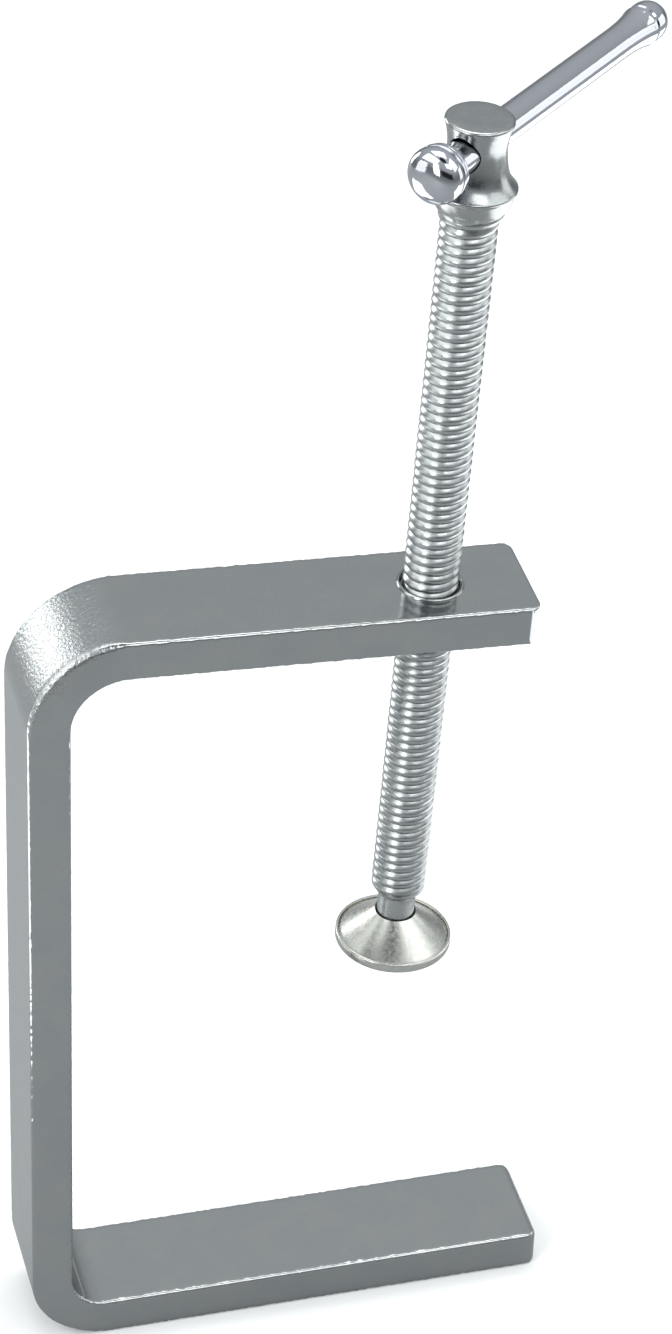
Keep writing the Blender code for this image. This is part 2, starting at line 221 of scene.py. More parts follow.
def finished(bm, name, sharp=35):
    """Makes an object of a mesh, with its normals outward and its hard edges kept hard."""
    bmesh.ops.recalc_face_normals(bm, faces=bm.faces)
    mesh = bpy.data.meshes.new(name)
    bm.to_mesh(mesh)
    bm.free()
    mesh.shade_smooth()
    mesh.set_sharp_from_angle(angle=math.radians(sharp))
    obj = bpy.data.objects.new(name, mesh)
    bpy.context.scene.collection.objects.link(obj)
    return obj


def bent_bar():
    legs = bar_legs()
    lengths = stops(legs)
    bm = bmesh.new()
    stretched = bm.verts.layers.float.new("stretched")
    rings = []
    for length in lengths:
        point, outward, stretch = along_bar(legs, length)
        ring = []
        for across, out in bar_section(length, lengths[-1], stretch):
            vert = bm.verts.new(point + outward * out + Vector((0, across, 0)))
            vert[stretched] = stretch * max(0, out / BAR_THICKNESS)
            ring.append(vert)
        rings.append(ring)
    skin(bm, rings)
    bm.faces.new(rings[0])
    bm.faces.new(rings[-1])
    return finished(bm, "bent_bar")


def curved(start, pull, end, count=8):
    """Points of a quadratic curve from start to end, drawn towards pull."""
    start, pull, end = Vector(start), Vector(pull), Vector(end)
    shares = [k / count for k in range(count + 1)]
    return [(1 - t) ** 2 * start + 2 * t * (1 - t) * pull + t * t * end for t in shares]


def circle(bm, space, radius, height, steps):
    """A ring of points round the Z axis of a space."""
    angles = [2 * math.pi * k / steps for k in range(steps)]
    places = [Vector((radius * math.cos(a), radius * math.sin(a), height)) for a in angles]
    return [bm.verts.new(space @ place) for place in places]


def turned(name, outline, space, steps=72, sharp=35):
    """A piece turned about the Z axis of its own space, from an outline of (radius, height). An
    outline that starts and ends on the axis makes a solid; one that stays clear makes a ring."""
    bm = bmesh.new()
    rings = []
    for radius, height in outline:
        on_axis = radius < 0.001 * MM
        rings.append(circle(bm, space, 0 if on_axis else radius, height, 1 if on_axis else steps))
    if len(rings[0]) > 1:
        rings.append(rings[0])
    for first, second in zip(rings, rings[1:]):
        if len(first) > 1 and len(second) > 1:
            skin(bm, [first, second])
            continue
        tip, rim = (first[0], second) if len(first) == 1 else (second[0], first)
        for k in range(steps):
            bm.faces.new((rim[k], rim[(k + 1) % steps], tip))
    return finished(bm, name, sharp)


def facing(way, origin=(0, 0, 0)):
    """A space whose Z axis points along a direction."""
    return Matrix.Translation(origin) @ Vector(way).to_track_quat("Z", "Y").to_matrix().to_4x4()


def cut(obj, operation, other, sharp=35):
    """Cuts with another object, or joins it on, and removes the other object."""
    boolean = obj.modifiers.new(other.name, "BOOLEAN")
    boolean.operation, boolean.object = operation, other
    graph = bpy.context.evaluated_depsgraph_get()
    mesh = bpy.data.meshes.new_from_object(obj.evaluated_get(graph))
    obj.modifiers.clear()
    obj.data = mesh
    mesh.set_sharp_from_angle(angle=math.radians(sharp))
    bpy.data.objects.remove(other)


def srgb(hex_colour):
    """An sRGB hex colour as the linear values that shaders use."""
    parts = [int(hex_colour[k:k + 2], 16) / 255 for k in (1, 3, 5)]
    return (*(c / 12.92 if c <= 0.04045 else ((c + 0.055) / 1.055) ** 2.4 for c in parts), 1)


def add(tree, kind, inputs=None, **settings):
    """Adds a shader node, and sets or links its inputs by name or number."""
    made = tree.nodes.new("ShaderNode" + kind)
    for name, value in settings.items():
        setattr(made, name, value)
    for name, value in (inputs or {}).items():
        if isinstance(value, bpy.types.NodeSocket):
            tree.links.new(value, made.inputs[name])
        else:
            made.inputs[name].default_value = value
    return made


def new_metal(name, **settings):
    """A metal's material, with its node tree, its shader and coordinates in millimetres."""
    material = bpy.data.materials.new(name)
    material.use_nodes = True
    tree = material.node_tree
    shader = tree.nodes["Principled BSDF"]
    shader.inputs["Metallic"].default_value = 1
    for socket, value in settings.items():
        shader.inputs[socket].default_value = value
    place = add(tree, "TexCoord").outputs["Object"]
    scaled = add(tree, "VectorMath", {0: place, "Scale": 1 / MM}, operation="SCALE")
    return material, tree, shader, scaled.outputs[0]


def zinc_plated_bar():
    """Bright zinc over rolled steel: a half mirror, cool grey with barely seen clouds. Stretched
    skin outside the bends is duller, and shows the steel's coarse grain as orange peel."""
    material, tree, shader, place = new_metal("zinc_plated_bar")
    cloud_size, speck_size, patch_size = 7, 0.5, 3  # all pattern sizes are in mm
    clouds = add(tree, "TexNoise", {"Vector": place, "Scale": 1 / cloud_size, "Detail": 3}).outputs[0]
    clouds = add(tree, "MapRange", {"Value": clouds, "From Min": 0.35, "From Max": 0.65}).outputs[0]
    colours = {"Factor": clouds, 6: srgb("#A5AAAB"), 7: srgb("#AAACAB")}
    colour = add(tree, "Mix", colours, data_type="RGBA").outputs[2]
    specks = add(tree, "TexNoise", {"Vector": place, "Scale": 1 / speck_size, "Detail": 3}).outputs[0]
    limits = {"Value": specks, "From Min": 0.3, "From Max": 0.7, "To Max": 0.18}
    specks = add(tree, "MapRange", limits).outputs[0]
    colours = {"Factor": specks, 6: colour, 7: srgb("#969C9D")}
    colour = add(tree, "Mix", colours, data_type="RGBA").outputs[2]
    tree.links.new(colour, shader.inputs["Base Color"])

    stretched = add(tree, "Attribute", attribute_name="stretched").outputs["Fac"]
    patches = add(tree, "TexNoise", {"Vector": place, "Scale": 1 / patch_size, "Detail": 3}).outputs[0]
    limits = {"Value": patches, "From Min": 0.3, "From Max": 0.7, "To Min": 0.13, "To Max": 0.18}
    satin = add(tree, "MapRange", limits).outputs[0]
    satin = add(tree, "Math", {0: stretched, 1: 0.16, 2: satin}, operation="MULTIPLY_ADD").outputs[0]
    tree.links.new(satin, shader.inputs["Roughness"])

    # Stretched steel shows grains 0.3 to 0.6 mm across, among a few deeper dents
    peel_size, dent_spacing, wave_size = 0.5, 2.4, 1.2
    grains = {"Vector": place, "Scale": 1 / peel_size, "Detail": 2, "Roughness": 0.6}
    peel = add(tree, "TexNoise", grains).outputs[0]
    peel = add(tree, "Math", {0: peel, 1: stretched}, operation="MULTIPLY").outputs[0]
    dents = add(tree, "TexVoronoi", {"Vector": place, "Scale": 1 / dent_spacing}).outputs["Distance"]
    limits = {"Value": dents, "From Min": 0, "From Max": 0.09, "To Min": -0.7, "To Max": 0}
    dents = add(tree, "MapRange", limits).outputs[0]
    waves = add(tree, "TexNoise", {"Vector": place, "Scale": 1 / wave_size, "Detail": 2}).outputs[0]
    waves = add(tree, "MapRange", {"Value": waves, "To Max": 0.06}).outputs[0]
    relief = add(tree, "Math", {0: peel, 1: 3.0, 2: waves}, operation="MULTIPLY_ADD").outputs[0]
    relief = add(tree, "Math", {0: dents, 1: 0.6, 2: relief}, operation="MULTIPLY_ADD").outputs[0]
    bump = add(tree, "Bump", {"Height": relief, "Strength": 1.0, "Distance": 0.05 * MM})
    tree.links.new(bump.outputs[0], shader.inputs["Normal"])
    return material


HOLE_RADIUS = 4.3 * MM  # clear of the thread's crests
LIP_RADIUS = 4.95 * MM  # rolled-up lip that the tap leaves round its hole
LIP_HEIGHT = 0.3 * MM
LIP_EDGE = 0.35 * MM  # width of the lip's rounded outer edge
BORE_TOP_CHAMFER = 0.3 * MM
BORE_FOOT_CHAMFER = 0.4 * MM

clamp_frame = bent_bar()
screw_space = facing(screw_way)
arm_inside = screw_way.dot(bar_legs()[-1]["start"])
arm_outside = arm_inside + BAR_THICKNESS
lip_top = arm_outside + LIP_HEIGHT
buried = arm_outside - 0.5 * MM
lip_bore = HOLE_RADIUS - 0.3 * MM
lip = [(lip_bore, lip_top - 0.08 * MM), (LIP_RADIUS - 0.45 * MM, lip_top - 0.03 * MM)]
lip += curved((LIP_RADIUS - LIP_EDGE, lip_top), (LIP_RADIUS - 0.05 * MM, lip_top),
              (LIP_RADIUS, arm_outside), 6)
lip += [(LIP_RADIUS, buried), (lip_bore, buried)]
cut(clamp_frame, "UNION", turned("tapping_lip", lip, screw_space))
mouth_radius = HOLE_RADIUS + BORE_TOP_CHAMFER
foot_radius = HOLE_RADIUS + BORE_FOOT_CHAMFER
bore = [(0, arm_outside + 2 * MM), (mouth_radius, arm_outside + 2 * MM), (mouth_radius, lip_top)]
bore += [(HOLE_RADIUS, lip_top - 0.25 * MM), (HOLE_RADIUS, arm_inside + BORE_FOOT_CHAMFER)]
bore += [(foot_radius, arm_inside), (foot_radius, arm_inside - MM), (0, arm_inside - MM)]
cut(clamp_frame, "DIFFERENCE", turned("tapping_drill", bore, screw_space))
clamp_frame.data.materials.append(zinc_plated_bar())
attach(clamp_frame, "frame")
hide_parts("frame")

# ---------------------------------------------------------------------------------------------
# Spindle. One steel rod with a rolled thread, upset at the top into a head that is turned to a
# waist and a collar and drilled through for the bar. Zinc plated bright. Its tip is turned down
# to a neck and riveted over a washer inside the pad.
# ---------------------------------------------------------------------------------------------
ROUND_STEPS = 72
THREAD_RADIUS = 4.1 * MM
THREAD_DEPTH = 0.4 * MM  # of its worn and plated crests, and shallower than a fresh thread
PITCH = 1.5 * MM
PITCH_POINTS = 12
THREAD_LENGTH = 117.5 * MM
FULL_CREST = 0.97  # how far an average crest stands up, of the thread's depth
FULLEST_CREST = 1.03
CONE_HEIGHT = 2.9 * MM  # how far the thread climbs the cone under the head
CONE_SPREAD = 1.2 * MM
HEAD_HEIGHT = 15.9 * MM
HEAD_TOP_RADIUS = 4.85 * MM
WAIST_RADIUS = 4.15 * MM
COLLAR_RADIUS = 6.2 * MM
COLLAR_BELOW_TOP = 10.4 * MM
NECK_RADIUS = 2.85 * MM
WASHER_SEAT_RADIUS = NECK_RADIUS - 0.8 * MM
RIVET_HEIGHT = 0.6 * MM
WASHER_SEAT_TOP = 1.9 * MM  # above the rivet's end
HOLE_BELOW_TOP = 4.3 * MM
BAR_RADIUS = 2.42 * MM
BORE_CLEARANCE = 0.1 * MM
MOUTH_FLARE = 0.3 * MM
SHARP_ANGLE = 50  # of the spindle's hard edges, so that the thread's crests stay smooth

rivet_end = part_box("spindle")[0].z / screw_way.z + 0.1 * MM
crown_edge = HEAD_TOP_RADIUS - 0.35 * MM
head_top = (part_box("spindle")[1].z - crown_edge * screw_way.x) / screw_way.z
thread_top = head_top - HEAD_HEIGHT
thread_foot = thread_top - THREAD_LENGTH
thread_end = thread_top + CONE_HEIGHT


def envelope(height):
    """Radius that the thread's crests reach at a height: drawn in to the neck over the lowest
    turns, and spread over the head's cone at the top."""
    full = min(1, max(0, (height - thread_foot) / PITCH - 0.6))
    radius = NECK_RADIUS + (THREAD_RADIUS - NECK_RADIUS) * full ** 2 * (3 - 2 * full)
    return radius + CONE_SPREAD * max(0, height - thread_top) / CONE_HEIGHT


def thread_radius(height, share):
    """Radius of the rolled thread at a height, and at a share of its pitch from the root: broad
    crests, worn a little unevenly, and narrow roots that get shallower towards both ends."""
    from_foot, from_end = (height - thread_foot) / (2 * PITCH), (thread_end - height) / (0.5 * PITCH)
    depth = THREAD_DEPTH * min(1, from_foot, from_end)
    crest = (0.5 - 0.5 * math.cos(2 * math.pi * share)) ** 0.5
    turn = height / PITCH
    worn = 0.1 * wobble(turn * 7, share * 3, 1) + 0.08 * wobble(turn * 1.7, 4, 2)
    return envelope(height) - max(0, depth) * (1 - crest * min(FULLEST_CREST, FULL_CREST + worn))


def ring_at(bm, radius, height):
    return circle(bm, screw_space, radius, height, ROUND_STEPS)


def thread_strip(bm, foot, turns):
    """Rows of points across one pitch, wound up the spindle from a height."""
    strip = []
    for j in range(turns * ROUND_STEPS + 1):
        turn = j / ROUND_STEPS
        angle = 2 * math.pi * turn
        row = []
        for k in range(PITCH_POINTS):
            share = k / PITCH_POINTS
            height = foot + PITCH * (turn + share)
            radius = thread_radius(height, share)
            place = Vector((radius * math.cos(angle), radius * math.sin(angle), height))
            row.append(bm.verts.new(screw_space @ place))
        strip.append(row)
    return strip


def rolled_thread(bm, below, above):
    """A right-hand thread between two rings, wound as one strip a pitch wide."""
    length = thread_end - thread_foot
    turns = math.floor(length / PITCH) - 1
    strip = thread_strip(bm, thread_foot + 0.5 * (length - (turns + 1) * PITCH), turns)
    top = len(strip) - 1 - ROUND_STEPS
    for j in range(len(strip) - 1):
        row, after = strip[j], strip[j + 1]
        for k in range(PITCH_POINTS - 1):
            bm.faces.new((row[k], after[k], after[k + 1], row[k + 1]))
        if j < top:
            above_row, above_after = strip[j + ROUND_STEPS], strip[j + 1 + ROUND_STEPS]
            bm.faces.new((row[-1], after[-1], above_after[0], above_row[0]))
    foot_edge = [strip[j][0] for j in range(ROUND_STEPS + 1)]
    top_edge = [strip[top + j][-1] for j in range(ROUND_STEPS + 1)]
    for j in range(ROUND_STEPS - 1):
        bm.faces.new((below[j], below[j + 1], foot_edge[j + 1], foot_edge[j]))
        bm.faces.new((top_edge[j], top_edge[j + 1], above[j + 1], above[j]))
    # One many-sided face at each end takes up the step where the strip starts and stops
    foot_step = [below[-1], below[0]] + strip[0] + [foot_edge[-1], foot_edge[-2]]
    top_step = [above[0], above[-1], top_edge[-2], top_edge[-1]] + strip[-1][-2::-1] + [top_edge[0]]
    bm.faces.new(foot_step)
    bm.faces.new(top_step)


def through(points, count=4):
    """A smooth curve that passes through each of some points."""
    points = [Vector(point) for point in points]
    points = [2 * points[0] - points[1]] + points + [2 * points[-1] - points[-2]]
    made = []
    for a, b, c, d in zip(points, points[1:], points[2:], points[3:]):
        for t in (k / count for k in range(count)):
            bent = 2 * a - 5 * b + 4 * c - d + t * (3 * b - a - 3 * c + d)
            made.append(b + t / 2 * (c - a + t * bent))
    return made + [points[-2]]


def head_outline():
    """The head as (radius, height), from its crown down to the thread. Its waist is hollow, and
    flares like a trumpet into the collar."""
    crown = [(0, 0), (0.6 * HEAD_TOP_RADIUS, 0), (HEAD_TOP_RADIUS - 0.45 * MM, 0)]
    crown += [(HEAD_TOP_RADIUS - 0.3 * MM, 0.03 * MM), (HEAD_TOP_RADIUS - 0.06 * MM, 0.2 * MM)]
    foot = COLLAR_BELOW_TOP - 0.2 * MM
    waist = [
        (HEAD_TOP_RADIUS, 0.4 * MM),
        (WAIST_RADIUS + 0.32 * MM, 1.7 * MM),
        (WAIST_RADIUS, 3.9 * MM),
        (WAIST_RADIUS + 0.12 * MM, 5.6 * MM),
        (WAIST_RADIUS + 0.4 * MM, 7.3 * MM),
        (WAIST_RADIUS + 0.82 * MM, 8.6 * MM),
        (WAIST_RADIUS + 1.3 * MM, 9.4 * MM),
        (COLLAR_RADIUS - 0.12 * MM, foot),
    ]
    rim = curved((COLLAR_RADIUS, foot + 0.1 * MM), (COLLAR_RADIUS + 0.06 * MM, foot + 0.45 * MM),
                 (COLLAR_RADIUS - 0.16 * MM, foot + 0.62 * MM), 5)
    end = HEAD_HEIGHT - CONE_HEIGHT
    under = curved((COLLAR_RADIUS - 0.24 * MM, foot + 0.7 * MM),
                   (COLLAR_RADIUS - 0.5 * MM, end - 0.9 * MM), (envelope(thread_end), end), 10)
    return [(radius, head_top - below) for radius, below in crown + through(waist) + rim + under]


def spindle_body():
    head = head_outline()
    seat_top, rivet_top = rivet_end + WASHER_SEAT_TOP, rivet_end + RIVET_HEIGHT
    tip = [(NECK_RADIUS, thread_foot), (NECK_RADIUS, seat_top), (WASHER_SEAT_RADIUS, seat_top)]
    tip += [(WASHER_SEAT_RADIUS, rivet_top), (NECK_RADIUS, rivet_top)]
    tip += [(NECK_RADIUS - 0.4 * MM, rivet_end)]
    bm = bmesh.new()
    centre = bm.verts.new(screw_space @ Vector((0, 0, head_top)))
    upper = [ring_at(bm, radius, height) for radius, height in head[1:]]
    lower = [ring_at(bm, radius, height) for radius, height in tip]
    for k in range(ROUND_STEPS):
        bm.faces.new((centre, upper[0][k], upper[0][(k + 1) % ROUND_STEPS]))
    skin(bm, upper)
    skin(bm, lower)
    bm.faces.new(lower[-1])
    rolled_thread(bm, lower[0], upper[-1])
    return finished(bm, "threaded_spindle", SHARP_ANGLE)


def zinc_plated_spindle():
    """Bright zinc over steel. The turned head is a clean soft mirror. The rolled thread below it
    is paler and more matt, so that its light side glows and its turns show softly."""
    material, tree, shader, place = new_metal("zinc_plated_spindle")
    cloud_size, patch_size, pit_size = 2.5, 0.8, 0.35  # in mm
    level = add(tree, "SeparateXYZ", {0: place}).outputs["Z"]
    thread_top_mm = thread_top / MM
    limits = {"Value": level, "From Min": thread_top_mm + 1, "From Max": thread_top_mm + 3}
    rolled = add(tree, "MapRange", {**limits, "To Min": 1, "To Max": 0}).outputs[0]
    clouds = add(tree, "TexNoise", {"Vector": place, "Scale": 1 / cloud_size, "Detail": 3}).outputs[0]
    clouds = add(tree, "MapRange", {"Value": clouds, "From Min": 0.35, "From Max": 0.65}).outputs[0]
    colours = {"Factor": clouds, 6: srgb("#9EA3A4"), 7: srgb("#A6A8A7")}
    colour = add(tree, "Mix", colours, data_type="RGBA").outputs[2]
    colours = {"Factor": rolled, 6: colour, 7: srgb("#ACB0B0")}
    colour = add(tree, "Mix", colours, data_type="RGBA").outputs[2]
    tree.links.new(colour, shader.inputs["Base Color"])

    patches = add(tree, "TexNoise", {"Vector": place, "Scale": 1 / patch_size, "Detail": 3}).outputs[0]
    limits = {"Value": patches, "From Min": 0.3, "From Max": 0.7, "To Min": 0.19, "To Max": 0.29}
    satin = add(tree, "MapRange", limits).outputs[0]
    satin = add(tree, "Math", {0: rolled, 1: 0.07, 2: satin}, operation="MULTIPLY_ADD").outputs[0]
    tree.links.new(satin, shader.inputs["Roughness"])

    grains = {"Vector": place, "Scale": 1 / pit_size, "Detail": 3, "Roughness": 0.6}
    pits = add(tree, "TexNoise", grains).outputs[0]
    bump = add(tree, "Bump", {"Height": pits, "Strength": 0.2, "Distance": 0.03 * MM})
    tree.links.new(bump.outputs[0], shader.inputs["Normal"])
    return material


spindle = spindle_body()
bar_way = Vector(next(j["axis"] for j in frame["joints"] if j["name"] == "tommy_slide")).normalized()
cross_point = screw_way * (head_top - HOLE_BELOW_TOP)
bar_space = facing(bar_way, cross_point)
bore_radius = BAR_RADIUS + BORE_CLEARANCE
mouth = bore_radius + MOUTH_FLARE
drill = [(0, 8 * MM), (mouth + 0.5 * MM, 8 * MM), (mouth + 0.5 * MM, WAIST_RADIUS + 1.2 * MM)]
drill += curved((mouth, WAIST_RADIUS + 0.3 * MM), (bore_radius, WAIST_RADIUS),
                (bore_radius, WAIST_RADIUS - 1.4 * MM), 8)
drill += [(radius, -height) for radius, height in reversed(drill)]
cut(spindle, "DIFFERENCE", turned("cross_drill", drill, bar_space, 48), SHARP_ANGLE)
spindle.data.materials.append(zinc_plated_spindle())
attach(spindle, "spindle")
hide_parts("spindle")

# ---------------------------------------------------------------------------------------------
# Tommy bar. A plain steel rod that slides in the head's cross hole, upset wider before its far
# end. Polished and chrome plated, with a knob pressed on one end and a cap on the other.
# ---------------------------------------------------------------------------------------------
BAR_NEAR_END = 8.2 * MM
BAR_FAR_END = 45.6 * MM
BAR_STRIPS = 17  # along the straight part, so that its shading stays even
FLARE_LENGTH = 7.5 * MM
FLARE_RADIUS = 3.0 * MM
SPIGOT_RADIUS = 1.3 * MM
SPIGOT_LENGTH = 2.6 * MM
GAP = 0.12 * MM


def chrome():
    """Chrome over polished steel: a full mirror, with the faint ripple of hand polishing."""
    material, tree, shader, place = new_metal("polished_chrome")
    patch_size, ripple_size = 1.5, 0.9  # in mm
    shader.inputs["Base Color"].default_value = srgb("#BCBFC5")
    patches = add(tree, "TexNoise", {"Vector": place, "Scale": 1 / patch_size, "Detail": 3}).outputs[0]
    limits = {"Value": patches, "From Min": 0.3, "From Max": 0.7, "To Min": 0.05, "To Max": 0.1}
    tree.links.new(add(tree, "MapRange", limits).outputs[0], shader.inputs["Roughness"])
    ripple = add(tree, "TexNoise", {"Vector": place, "Scale": 1 / ripple_size, "Detail": 2}).outputs[0]
    bump = add(tree, "Bump", {"Height": ripple, "Strength": 0.4, "Distance": 0.03 * MM})
    tree.links.new(bump.outputs[0], shader.inputs["Normal"])
    return material


spigot_end = BAR_FAR_END + SPIGOT_LENGTH
flare_start = BAR_FAR_END - FLARE_LENGTH
rod = [(0, spigot_end), (SPIGOT_RADIUS, spigot_end), (SPIGOT_RADIUS, BAR_FAR_END)]
rod += [(FLARE_RADIUS - 0.25 * MM, BAR_FAR_END), (FLARE_RADIUS, BAR_FAR_END - 0.25 * MM)]
rod += curved((FLARE_RADIUS, BAR_FAR_END - 0.5 * MM), (BAR_RADIUS, flare_start + FLARE_LENGTH * 0.6),
              (BAR_RADIUS, flare_start), 14)
rod += [(BAR_RADIUS, -k * BAR_NEAR_END / 3) for k in range(3 - BAR_STRIPS, 3)]
rod += [(BAR_RADIUS, 0.2 * MM - BAR_NEAR_END), (BAR_RADIUS - 0.2 * MM, -BAR_NEAR_END)]
rod += [(SPIGOT_RADIUS, -BAR_NEAR_END), (SPIGOT_RADIUS, -BAR_NEAR_END - SPIGOT_LENGTH)]
rod += [(0, -BAR_NEAR_END - SPIGOT_LENGTH)]
polished_chrome = chrome()
sliding_bar = turned("sliding_bar", rod, bar_space)
sliding_bar.data.materials.append(polished_chrome)
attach(sliding_bar, "tommy_bar")
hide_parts("tommy_bar")

# ---------------------------------------------------------------------------------------------
# Knob. Turned steel, chrome plated and pressed on the bar's near end: a blunt dome with two
# raised rings at its foot, parted by narrow grooves.
# ---------------------------------------------------------------------------------------------
KNOB_RADIUS = 4.1 * MM
KNOB_LENGTH = 4.9 * MM
KNOB_BLUNT = 2.5
RING_LENGTH = 0.8 * MM
RING_GROOVE = 0.1 * MM
FIRST_RING_RADIUS = KNOB_RADIUS - 0.35 * MM
SECOND_RING_RADIUS = KNOB_RADIUS - 0.1 * MM


def dome(radius, foot, top, blunt, count=14):
    """Outline of a blunt end, from its widest to the axis. 2 draws it round, and more squarer."""
    points = []
    for k in range(count + 1):
        turn = math.pi / 2 * k / count
        rise = math.sin(turn) ** (2 / blunt)
        points.append((radius * max(0, math.cos(turn)) ** (2 / blunt), foot + (top - foot) * rise))
    return points


def ring(radius, near, far):
    """Outline of a raised ring with rounded edges, between two heights."""
    ease = (far - near) * 0.3
    low = radius - abs(ease)
    return (curved((low, near), (radius, near), (radius, near + ease), 4)
            + curved((radius, far - ease), (radius, far), (low, far), 4))


back = -BAR_NEAR_END - GAP
socket_end = back - SPIGOT_LENGTH - GAP
knob = [(0, socket_end), (SPIGOT_RADIUS + GAP, socket_end), (SPIGOT_RADIUS + GAP, back)]
knob += ring(FIRST_RING_RADIUS, back, back - RING_LENGTH)
knob += ring(SECOND_RING_RADIUS, back - RING_LENGTH - RING_GROOVE, back - 2 * RING_LENGTH)
shoulder = back - 2 * RING_LENGTH - 0.12 * MM
knob += curved((KNOB_RADIUS - 0.6 * MM, shoulder), (KNOB_RADIUS - 0.05 * MM, shoulder),
               (KNOB_RADIUS, shoulder - 0.55 * MM), 5)
knob += dome(KNOB_RADIUS, shoulder - 0.7 * MM, back - KNOB_LENGTH, KNOB_BLUNT)
pressed_knob = turned("pressed_knob", knob, bar_space)
pressed_knob.data.materials.append(polished_chrome)
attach(pressed_knob, "tommy_bar")
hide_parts("bar_knob")

# ---------------------------------------------------------------------------------------------
# Cap. Turned steel, chrome plated and pressed on the bar's far end, with a blunt dome.
# ---------------------------------------------------------------------------------------------
CAP_RADIUS = 3.0 * MM
CAP_LENGTH = 4.4 * MM
CAP_DOME = 3.0 * MM
CAP_BLUNT = 2.3
foot = BAR_FAR_END + GAP
top = foot + CAP_LENGTH
socket_end = foot + SPIGOT_LENGTH + GAP
cap = dome(CAP_RADIUS, top - CAP_DOME, top, CAP_BLUNT)[::-1]
cap += [(CAP_RADIUS, foot + 0.6 * MM), (CAP_RADIUS - 0.03 * MM, foot + 0.25 * MM)]
cap += [(CAP_RADIUS - 0.3 * MM, foot), (SPIGOT_RADIUS + GAP, foot)]
cap += [(SPIGOT_RADIUS + GAP, socket_end), (0, socket_end)]
end_cap = turned("end_cap", cap, bar_space)
end_cap.data.materials.append(polished_chrome)
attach(end_cap, "tommy_bar")
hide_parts("bar_cap")

# ---------------------------------------------------------------------------------------------
# Swivel pad. A cone turned thin from steel sits loosely round the neck, and a flat face with a
# low lip is rolled up round its foot. Nickel plated over fine turning marks.
# ---------------------------------------------------------------------------------------------
PAD_RADIUS = 8.85 * MM
LIP_WALL = 0.45 * MM
PAD_FACE_THICKNESS = 0.9 * MM
PAD_LIP_HEIGHT = 0.95 * MM
PAD_STEPS = 96
SHELL_HEIGHT = 4.6 * MM
SHELL_WALL = 1.0 * MM  # measured along the axis
SHELL_RIM_WALL = 1.2 * MM
NECK_CLEARANCE = 0.2 * MM

pad_foot = Vector(next(m["pos_m"] for m in frame["record"]["mounts"] if m["name"] == "moving_jaw")).length
face_top = pad_foot + PAD_FACE_THICKNESS
shell_foot = face_top + 0.15 * MM
shell_top = face_top + 0.3 * MM + SHELL_HEIGHT
lip_inside = PAD_RADIUS - LIP_WALL
shell_rim = lip_inside - 0.05 * MM
hole_radius = NECK_RADIUS + NECK_CLEARANCE


def eased(corners, count=4):
    """An outline whose (radius, height, round) corners are rounded off."""
    points = []
    for k, (radius, height, ease) in enumerate(corners):
        here = Vector((radius, height))
        if not ease:
            points.append(here)
            continue
        before = Vector(corners[k - 1][:2]) - here
        after = Vector(corners[(k + 1) % len(corners)][:2]) - here
        reach = min(ease, 0.49 * before.length, 0.49 * after.length)
        start, end = here + before.normalized() * reach, here + after.normalized() * reach
        points += curved(start, here, end, count)
    return points


def turned_nickel():
    """Thin nickel over turned steel: slightly warm. Its turning marks, a tenth of a millimetre
    apart, are too fine to draw. They run round the axis, so an uneven shine stands for them and
    stretches each highlight into a ray from the middle."""
    material, tree, shader, place = new_metal("nickel_plated_turning", Anisotropic=0.75)
    cloud_size, patch_size = 1.4, 0.6  # in mm
    around = add(tree, "Tangent", direction_type="RADIAL", axis="Z").outputs[0]
    tree.links.new(around, shader.inputs["Tangent"])
    clouds = add(tree, "TexNoise", {"Vector": place, "Scale": 1 / cloud_size, "Detail": 3}).outputs[0]
    clouds = add(tree, "MapRange", {"Value": clouds, "From Min": 0.35, "From Max": 0.65}).outputs[0]
    colours = {"Factor": clouds, 6: srgb("#C6C6BF"), 7: srgb("#BCBFBA")}
    colour = add(tree, "Mix", colours, data_type="RGBA").outputs[2]
    tree.links.new(colour, shader.inputs["Base Color"])
    patches = add(tree, "TexNoise", {"Vector": place, "Scale": 1 / patch_size, "Detail": 3}).outputs[0]
    limits = {"Value": patches, "From Min": 0.3, "From Max": 0.7, "To Min": 0.2, "To Max": 0.3}
    tree.links.new(add(tree, "MapRange", limits).outputs[0], shader.inputs["Roughness"])
    return material


shell = [
    (hole_radius + 0.12 * MM, shell_top),
    (shell_rim - 0.5 * MM, shell_foot + 0.72 * MM),
    (shell_rim, shell_foot + 0.45 * MM),
    (shell_rim, shell_foot),
    (shell_rim - SHELL_RIM_WALL, shell_foot),
    (hole_radius, shell_top - SHELL_WALL),
    (hole_radius, shell_top - 0.1 * MM),
]
nickel = turned_nickel()
pad_cone = turned("pad_cone", shell, screw_space, PAD_STEPS, 20)
pad_cone.data.materials.append(nickel)
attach(pad_cone, "pad")
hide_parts("pad_shell")

rim_top = face_top + PAD_LIP_HEIGHT
face = eased([
    (0, face_top, 0),
    (lip_inside, face_top, 0),
    (lip_inside, rim_top, 0.12 * MM),
    (PAD_RADIUS - 0.05 * MM, rim_top - 0.1 * MM, 0.2 * MM),
    (PAD_RADIUS, pad_foot + 0.45 * MM, 0.3 * MM),
    (PAD_RADIUS - 0.55 * MM, pad_foot, 0.15 * MM),
    (0, pad_foot, 0),
])
pad_plate = turned("pad_plate", face, screw_space, PAD_STEPS, 30)
pad_plate.data.materials.append(nickel)
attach(pad_plate, "pad")
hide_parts("pad_face")

# ---------------------------------------------------------------------------------------------
# Washer. A plain stamped washer behind the riveted tip, inside the pad. Only its material is
# new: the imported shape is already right.
# ---------------------------------------------------------------------------------------------
washer = frame["nodes"]["pad_washer"]
washer.data.materials.clear()
washer.data.materials.append(nickel)

